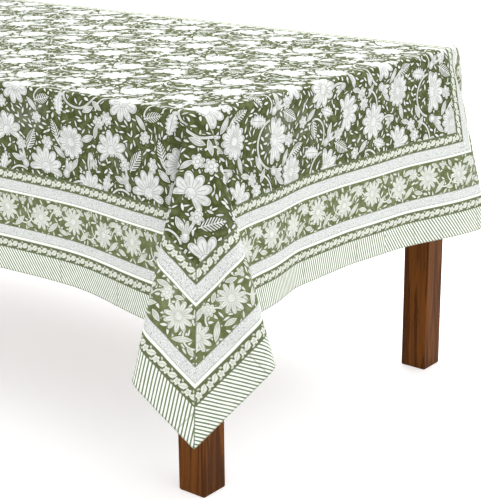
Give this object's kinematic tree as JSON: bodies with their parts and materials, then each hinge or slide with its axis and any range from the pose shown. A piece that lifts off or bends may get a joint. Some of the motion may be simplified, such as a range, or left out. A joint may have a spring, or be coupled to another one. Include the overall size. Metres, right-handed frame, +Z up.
{
  "type": "tablecloth on a table",
  "caption": "Block-printed rectangular cotton tablecloth with a bordered edge, draped over a rectangular wooden dining table on square legs.",
  "frame": {"origin": "on the floor, under the centre of the whole object's box", "axes": "+X along the table's length towards the end that hangs 400 mm, +Y across its width towards the back, +Z up"},
  "size_m": [1.8475, 1.2075, 0.76],
  "materials": {
    "printed_cotton": "matte woven cotton, olive green block print on white",
    "hem_cotton": "matte woven cotton, striped edge",
    "leg_wood": "dark stained hardwood, satin",
    "frame_wood": "stained hardwood, satin",
    "top_wood": "stained hardwood, satin",
    "block_wood": "unstained hardwood",
    "steel": "zinc plated"
  },
  "bodies": {
    "table": {"top_board_1": "top_wood", "top_board_2": "top_wood", "top_board_3": "top_wood", "top_board_4": "top_wood", "top_board_5": "top_wood", "top_board_6": "top_wood", "apron_front": "frame_wood", "apron_back": "frame_wood", "apron_left": "frame_wood", "apron_right": "frame_wood", "leg_front_left": "leg_wood", "leg_front_right": "leg_wood", "leg_back_left": "leg_wood", "leg_back_right": "leg_wood", "corner_block_front_left": "block_wood", "corner_block_front_right": "block_wood", "corner_block_back_left": "block_wood", "corner_block_back_right": "block_wood", "hanger_bolts": "steel", "bolt_washers": "steel", "bolt_nuts": "steel", "top_buttons": "block_wood", "button_screws": "steel"},
    "cloth": {"tablecloth": "printed_cotton", "hem_front": "hem_cotton", "hem_right": "hem_cotton", "hem_back": "hem_cotton", "hem_left": "hem_cotton"}
  },
  "joints": [
    {"name": "cloth_lift", "type": "slide", "parent": "table", "child": "cloth", "axis": [0, 0, 1], "range_m": [0, 0.6]}
  ]
}
